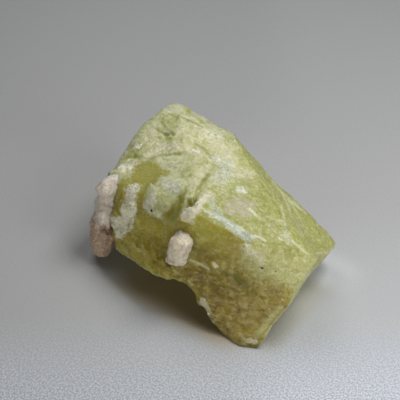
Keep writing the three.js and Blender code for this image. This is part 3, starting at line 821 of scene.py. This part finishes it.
def crystal_finish(skin):
    """Clear yellow-green stone, frosted on top, with crusts grown on it where the skin's masks say."""
    f = Finish("brazilianite crystal")
    clouds = f.noise(3.0, 3, 0.6)
    patches = f.noise(1.4, 4, 0.65)
    mottle = f.noise(0.75, 4, 0.65)
    grain = f.noise(0.30, 3, 0.6)
    sugar = f.noise(0.17, 2, 0.6)
    streaks = f.noise(0.6, 3, 0.6, {"Rotation": STREAK_TURN, "Scale": (0.22, 1, 1)})
    flakes = f.noise(0.5, 4, 0.75, {"Rotation": STREAK_TURN, "Scale": (0.5, 1, 1)})
    ragged = (mottle - 0.5) * 0.5 + (grain - 0.5) * 0.5
    painted = [layer.name for layer in skin.attributes if layer.data_type == "FLOAT"]
    masks = {name: f.attribute(name) for name in painted}

    def edge(name, low, high, torn=1.0):
        """A mask whose edge is torn by the grain."""
        return (masks[name] + ragged * torn).between(low, high)

    def blend(by, dark, pale, low=0.36, high=0.64):
        """Two screen colours, blended by a noise."""
        return f.mix(by.between(low, high), rgb(*dark), rgb(*pale))

    spotty = masks["mottled"] * (0.6 - masks["amber"] * 0.15) + 0.1
    inside = f.layered(
        blend(mottle, (192, 175, 66), (208, 194, 94)),
        (masks["brown"] * 0.9, blend(mottle, (133, 104, 22), (152, 122, 34))),
        (masks["amber"] * 0.9, blend(mottle, (184, 160, 76), (208, 186, 104))),
        (masks["deep"] * 0.9, blend(mottle, (146, 122, 18), (174, 150, 38))),
        (masks["green"] * 0.9, rgb(206, 202, 84)),
        (masks["haunch"] * 0.7, rgb(214, 208, 132)),
        (masks["clear"], blend(clouds, (208, 204, 112), (220, 216, 130))),
        (masks["clear"] * masks["deep"] * 0.6, rgb(212, 196, 88)),
        (patches.between(0.54, 0.34) * spotty * 0.7, rgb(138, 122, 36)),
        (mottle.between(0.48, 0.72) * spotty * 0.5, rgb(218, 206, 122)),
        (flakes.between(0.55, 0.60) * spotty * 0.85, rgb(220, 208, 122)),
        (flakes.between(0.44, 0.39) * spotty * 0.9, rgb(120, 106, 28)),
        (grain.between(0.48, 0.30) * spotty * 0.7, rgb(124, 112, 34)),
    )
    frost = f.layered(
        blend(mottle, (207, 209, 143), (229, 229, 181)),
        (patches.between(0.49, 0.43) * 0.6, rgb(214, 219, 146)),
        (clouds.between(0.50, 0.62) * 0.5, rgb(234, 228, 184)),
        (masks["straw"] * 0.9, blend(mottle, (240, 238, 178), (252, 252, 212))),
        (masks["haunch"] * 0.75, blend(streaks, (210, 207, 130), (226, 222, 154))),
        (masks["pale"] * 0.75, rgb(250, 251, 208)),
        (masks["green"] * 0.8, rgb(212, 217, 146)),
        # painted shade, olive, over the right of the top and the shoulder
        (masks["painted_shade_right"] * 0.75, blend(patches, (174, 177, 74), (188, 190, 98), 0.4, 0.6)),
        (masks["moss"] * 0.85, blend(clouds, (192, 194, 108), (204, 206, 122))),
        (grain.between(0.56, 0.62) * 0.30, rgb(252, 252, 226)),
        (grain.between(0.44, 0.38) * 0.30, rgb(176, 178, 100)),
        (flakes.between(0.58, 0.62) * 0.4, rgb(248, 250, 222)),
        (flakes.between(0.41, 0.37) * 0.35, rgb(178, 182, 104)),
    )
    # whiter grains on the crust and glaze, painted as glitter
    glitter = sugar.between(0.40, 0.62)
    crust = f.mix(glitter * 0.4, blend(grain, (250, 244, 212), (255, 252, 232)), rgb(255, 255, 246))
    glaze = f.mix(glitter * 0.3, blend(grain, (210, 214, 182), (228, 232, 210)), rgb(238, 242, 222))
    # the flat strip's pale bluish white is a painted reflection
    strip = blend(streaks, (190, 197, 176), (220, 226, 208), 0.4, 0.6)
    body = f.layered(
        inside,
        (edge("veil", 0.12, 0.5), frost),
        # painted shade along the furrows
        (masks["crease"] * 0.8, rgb(156, 160, 78)),
        (masks["dark"] * 0.9, blend(mottle, (122, 118, 16), (148, 144, 44))),
        # what has grown on it
        (edge("spar", 0.2, 0.8, 1.5) * 0.65, blend(mottle, (226, 219, 176), (242, 237, 204))),
        (edge("feldspar", 0.3, 0.6) * 0.9, blend(mottle, (203, 196, 160), (208, 202, 168))),
        (edge("crust", 0.30, 0.72, 1.8) * 0.9, crust),
        (edge("glaze", 0.2, 0.8, 1.4) * 0.7, glaze),
        (edge("vein", 0.25, 0.75, 1.8) * 0.85, blend(mottle, (240, 228, 196), (252, 244, 218))),
        (edge("strip", 0.40, 0.60) * 0.85, strip),
        # what lies in hollows and on edges: painted shade in the hollows, painted highlights along the lines,
        # on the ridges and as glints
        (masks["line"] * 0.75, rgb(244, 244, 196)),
        (masks["hollow"] * 0.25, rgb(150, 142, 56)),
        (masks["ridge"] * (0.05 + masks["veil"] * 0.2), rgb(252, 250, 220)),
        (edge("glint", 0.35, 0.65) * 0.8, rgb(254, 252, 232)),
    )
    # the grain of the whole skin, finer and paler where something has grown
    grown_on = masks["crust"] + masks["glaze"] + masks["spar"]
    sugary = (grown_on + masks["feldspar"] + masks["strip"] + masks["vein"]).clamped()
    open_skin = 1 - masks["clear"]
    dulled = f.times(body, (0.64, 0.64, 0.56))
    body = f.mix(sugar.between(0.50, 0.28) * open_skin * (0.6 - sugary * 0.3), body, dulled)
    grainy = masks["veil"] * 0.42 + sugary * 0.3 + 0.05
    lightened = f.times(body, (1.5, 1.5, 1.6))
    body = f.mix(sugar.between(0.54, 0.72) * open_skin * grainy, body, lightened)
    rough = 0.38 + masks["crust"] * 0.12 + masks["spar"] * 0.12 - masks["clear"] * 0.14
    rough = (rough - masks["strip"] * 0.10 + (grain - 0.5) * 0.3).clamped()
    planes = f.facets(0.45, 0.27) * (1 - masks["clear"] * 0.9)
    normal = f.bump(planes + f.facets(0.22, 0.16) * sugary + (grain - 0.5) * FINE_BUMP)
    return f.surface(
        {
            "Base Color": body,
            "Roughness": rough,
            "IOR": 1.61,
            "Specular IOR Level": 0.18,
            "Transmission Weight": 0.3,
            "Subsurface Weight": 0.9,
            "Subsurface Radius": (1.0, 0.95, 0.4),
            "Subsurface Scale": 5 * MM,
            "Normal": normal,
        },
        {"Color": (0.80, 0.78, 0.35, 1), "Density": 150.0},
        {"Base Color": body, "Roughness": rough, "IOR": 1.55, "Specular IOR Level": 0.35, "Normal": normal},
        (masks["veil"] * 0.3 + sugary * 0.5 + masks["crust"] * 0.35).clamped(),
    )


def feldspar_finish(name, pale, dark, low, low_height):
    """Sugary feldspar: pale grains on a mottled ground, with painted shade in its hollows and joints, and the
    low colour below low_height millimetres.
    """
    f = Finish(name)
    mottle = f.noise(0.8, 4, 0.6)
    grain = f.noise(0.22, 3, 0.6)
    height = f.node("ShaderNodeSeparateXYZ", {}, {0: f.place()})["Z"] * (1 / MM)
    darker_low = (height + (mottle - 0.5) * 3).between(low_height + 0.8, low_height - 0.8)
    colour = f.layered(
        f.mix(mottle.between(0.30, 0.70), dark, pale),
        (darker_low, f.mix(mottle.between(0.35, 0.6), low, tuple(c * 1.15 for c in low))),
        (grain.between(0.52, 0.70) * 0.5, rgb(246, 240, 230)),
        # painted shade in the hollows
        (f.attribute("hollow") * 0.3, tuple(c * 0.6 for c in dark)),
    )
    return f.surface(
        {
            "Base Color": colour,
            "Roughness": (0.38 + grain * 0.3).clamped(),
            "IOR": 1.53,
            "Subsurface Weight": 0.7,
            "Subsurface Radius": (1.0, 0.9, 0.8),
            "Subsurface Scale": 1.6 * MM,
            "Normal": f.bump(f.facets(0.4, 0.16) + (grain + mottle * 0.5) * FINE_BUMP),
        }
    )


SWELL = 0.35  # how far a lump swells into the crystal, in millimetres


def lump_skin(node, voxel, host_tree, pushes, rounds, slimmer):
    """A feldspar lump: swollen into its socket, and broken into grains.

    rounds is how often its points are averaged first, and slimmer is the share of its breadth, across
    the front of the crystal, that it loses.
    """
    mesh = fine_copy(node, voxel, crease_angle=60, softening=5)
    shaped = reshaped(averaged(mesh, points_of(mesh), rounds), pushes)
    across = (shaped - shaped.mean(0)) @ ACROSS
    move_points(mesh, shaped - slimmer * across[:, None] * ACROSS)
    p, n = points_of(mesh), normals_of(mesh)
    near = [host_tree.find_nearest(Vector(q * MM)) for q in p]
    gap = np.array([hit[3] / MM for hit in near])
    inward = (np.array([hit[0] for hit in near]) / MM - p) / np.maximum(gap, 1e-6)[:, None]
    joints, blocks = GRAIN.grains(p + 3.3, 0.9)
    _, crumbs = GRAIN.grains(p, 0.42)
    height = SWELL * smooth(gap, 1.0, 0.4) * smooth((n * inward).sum(1), 0.1, 0.6)
    height += 0.09 * blocks + 0.11 * crumbs + 0.07 * WAVE.waves(p, 0.8, 4, 0.7)
    height -= 0.05 * smooth(joints, 0.14, 0.0)
    moved = p + height[:, None] * n
    moved[:, 2] = np.maximum(moved[:, 2], 0)
    move_points(mesh, moved)
    # the hollows get painted shade
    paint(mesh, "hollow", smooth(bulge_of(mesh, moved, normals_of(mesh), 6), -0.005, -0.04))
    return mesh


def crumb_finish():
    f = Finish("feldspar crumbs")
    grain = f.noise(0.2, 3, 0.6)
    tint = f.noise(2.5, 2, 0.5)
    colour = f.mix(grain.between(0.35, 0.65), rgb(216, 210, 166), rgb(240, 236, 210))
    colour = f.mix(tint.between(0.4, 0.65) * 0.4, colour, rgb(226, 206, 170))
    return f.surface(
        {
            "Base Color": colour,
            "Roughness": (0.3 + grain * 0.3).clamped(),
            "IOR": 1.53,
            "Subsurface Weight": 0.6,
            "Subsurface Radius": (1.0, 0.9, 0.7),
            "Subsurface Scale": 0.8 * MM,
            "Normal": f.bump((grain - 0.5) * FINE_BUMP),
        }
    )


CRUMB_SEED = 5
CRUMB_SHARES = (("crust", 1.0), ("spar", 0.15), ("glaze", 0.25))  # how thickly they lie on each mask
CRUMBS_ABOVE = 0.6  # none is nearer the floor than this, in millimetres


def crumb_block():
    """A bevelled cube, one unit across."""
    block = bmesh.new()
    bmesh.ops.create_cube(block, size=1.0)
    bmesh.ops.bevel(
        block, geom=block.edges[:], offset=0.10, segments=1, profile=0.5, affect="EDGES", material=-1
    )
    return mesh_of(block, "block")


def crumb_mesh(skin, count, smallest, largest):
    """Little blocks, each with its own size and turn, half sunk where the skin is crusted."""
    draw = np.random.RandomState(CRUMB_SEED)
    p, n = points_of(skin), normals_of(skin)
    wanted = np.zeros(len(p), np.float32)
    total = np.zeros(len(p))
    for name, share in CRUMB_SHARES:
        skin.attributes[name].data.foreach_get("value", wanted)
        total += share * smooth(wanted, 0.35, 0.9)
    total *= p[:, 2] > CRUMBS_ABOVE
    seats = draw.choice(len(p), count, replace=False, p=total / total.sum())
    shape = crumb_block()
    heap = bmesh.new()
    for seat in seats:
        before = len(heap.verts)
        heap.from_mesh(shape)
        heap.verts.ensure_lookup_table()
        size = draw.uniform(smallest, largest) * MM
        turn = Euler(draw.uniform(0, math.tau, 3)).to_matrix().to_4x4()
        scale = Matrix.Diagonal((*(size * draw.uniform(0.6, 1.3, 3)), 1))
        place = Matrix.Translation(Vector((p[seat] + n[seat] * 0.02) * MM))
        bmesh.ops.transform(heap, matrix=place @ turn @ scale, verts=heap.verts[before:])
    bpy.data.meshes.remove(shape)
    return mesh_of(heap, "crumbs")


def speck_finish():
    f = Finish("dark specks")
    grain = f.noise(0.1, 2, 0.6)
    return f.surface(
        {
            "Base Color": f.mix(grain, rgb(16, 14, 10), rgb(44, 38, 26)),
            "Roughness": (0.3 + grain * 0.3).clamped(),
            "Normal": f.bump((grain - 0.5) * (0.02 * MM)),
        }
    )


# Centre, half length and half width, in millimetres.
SPECKS = (
    ((9.6, -4.3, 9.0), 0.20, 0.11),
    ((11.0, -3.6, 8.7), 0.08, 0.07),
    ((-4.7, -5.5, 10.8), 0.18, 0.15),
)


def speck_mesh(tree):
    """Flat dark grains sunk into the skin."""
    heap = bmesh.new()
    for centre, half_length, half_width in SPECKS:
        seat, normal, _, _ = tree.find_nearest(Vector(centre) * MM)
        made = bmesh.ops.create_icosphere(heap, subdivisions=2, radius=1.0)
        turn = normal.to_track_quat("Z", "X").to_matrix().to_4x4()
        scale = Matrix.Diagonal((half_width * MM, half_length * MM, 0.6 * half_width * MM, 1))
        bmesh.ops.transform(heap, matrix=Matrix.Translation(seat) @ turn @ scale, verts=made["verts"])
    return mesh_of(heap, "specks")


FLOOR_REACH = 1.5  # metres from its middle to its edge


def floor_finish():
    """Pale board with a paper grain, lighter towards the viewer as painted light, with painted light and
    painted shade round the crystal and a painted brown tint in the shade under its arch.
    """
    f = Finish("pale board")
    fibre = f.noise(0.22, 2, 0.7)
    split = f.node("ShaderNodeSeparateXYZ", {}, {0: f.place()})
    x, y = split["X"], split["Y"]
    rightward = f.along((0.819, 0.574, 0.0))
    forward = f.along((0.406, -0.579, 0.0))

    def within(*edges):
        """1 inside some soft edges: each is a coordinate, and where it starts and ends, in millimetres."""
        level = 1.0
        for coordinate, start, end in edges:
            level = level * coordinate.between(start * MM, end * MM)
        return level

    # towards the viewer the board is lighter, a painted light gradient, and its grain is coarser
    near = within((f.along((0.57, -0.82, 0.0)), 7, 24))
    colour = f.layered(
        f.mix(fibre.between(0.3, 0.7), rgb(179, 180, 180), rgb(187, 188, 188)),
        (near, rgb(198, 202, 210)),
        (near * fibre.between(0.48, 0.60), rgb(221, 225, 233)),
        (near * fibre.between(0.50, 0.38), rgb(168, 170, 176)),
    )
    # patches of painted light (shares above 1) and painted shade (shares below 1): lighter to the crystal's
    # right and towards the viewer, darker far off to its left, lighter by the back of its right end, and
    # darker and warmer beside the rest of that end
    for level, share in (
        (within((rightward, 0, 10), (forward, -8, 6)), (1.11, 1.12, 1.15)),
        (within((rightward, 16, 4), (forward, -12, -20)), (0.94, 0.94, 0.94)),
        (within((x, 9, 11), (x, 18, 13), (y, 11, 8), (y, 3, 6)), (1.14, 1.15, 1.17)),
        (within((x, 10, 11.5), (x, 15, 12.5), (y, -9, -6), (y, 5.5, 3.5)), (0.88, 0.85, 0.75)),
    ):
        colour = f.mix(level, colour, f.times(colour, share))
    # a painted brown tint in the shade under the crystal's arch
    arch_shadow_tint = within((x, -10, -4), (x, 12, 6), (y, -11.5, -8.5), (y, 0, -3))
    colour = f.mix(arch_shadow_tint * 0.8, colour, rgb(180, 160, 118))
    return f.surface({"Base Color": colour, "Roughness": 0.75, "Normal": f.bump(fibre * (0.02 * MM))})


def floor_mesh():
    board = bmesh.new()
    bmesh.ops.create_grid(board, x_segments=1, y_segments=1, size=FLOOR_REACH)
    mesh = mesh_of(board, "floor")
    mesh.materials.append(floor_finish())
    return mesh


# ------------------------------------------------------------------ pieces
skin = crystal_skin()
crystal = put_in_scene("crystal", skin, crystal_finish(skin))
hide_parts("brazilianite_crystal")
crystal_tree = tree_of(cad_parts["brazilianite_crystal"].data)

flank = put_in_scene(
    "flank_feldspar_lump",
    lump_skin("flank_matrix", 0.1, crystal_tree, FLANK_PUSHES, rounds=60, slimmer=0.0),
    feldspar_finish(
        "flank feldspar", rgb(226, 216, 202), rgb(204, 192, 178), low=rgb(165, 138, 115), low_height=5.6
    ),
)
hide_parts("flank_matrix")
nodule = put_in_scene(
    "front_feldspar_nodule",
    lump_skin("front_nodule", 0.08, crystal_tree, NODULE_PUSHES, rounds=10, slimmer=0.12),
    feldspar_finish(
        "front feldspar", rgb(234, 222, 198), rgb(212, 198, 174), low=rgb(212, 198, 174), low_height=0
    ),
)
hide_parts("front_nodule")
crumbs = put_in_scene(
    "feldspar_crumbs",
    crumb_mesh(skin, count=200, smallest=0.10, largest=0.22),
    crumb_finish(),
)
crumbs.data.shade_flat()
put_in_scene("dark_specks", speck_mesh(tree_of(skin)), speck_finish())

floor = in_scene("floor", floor_mesh())


# ------------------------------------------------------------------ light
MIDDLE = Vector((0, 0, 5 * MM))  # what every light is turned to


def soft_light(name, bearing, rise, away_mm, size_mm, watts, colour=(1, 1, 1)):
    """A soft oval light, (width, height) in millimetres, at a bearing and rise in degrees."""
    lamp = bpy.data.lights.new(name, "AREA")
    lamp.shape = "ELLIPSE"
    lamp.size, lamp.size_y = size_mm[0] * MM, size_mm[1] * MM
    lamp.energy = watts
    lamp.color = colour
    holder = in_scene(name, lamp)
    holder.location = Vector(facing(bearing, rise)) * away_mm * MM
    holder.rotation_euler = (MIDDLE - holder.location).to_track_quat("-Z", "Y").to_euler()


soft_light("window", 58, 67, 140, (55, 55), 0.082)
soft_light("lamp", 8, 48, 80, (40, 40), 0.015)
soft_light("side wall", -8, 34, 110, (60, 60), 0.007)
soft_light("far wall", 150, 60, 140, (80, 80), 0.0435)
soft_light("board glow", -72, 8, 150, (120, 34), 0.067, (1.0, 0.98, 0.89))
world = bpy.data.worlds.new("room")
world.use_nodes = True
room = world.node_tree.nodes["Background"]
room.inputs["Color"].default_value = (0.55, 0.57, 0.6, 1)
room.inputs["Strength"].default_value = 0.005
bpy.context.scene.world = world
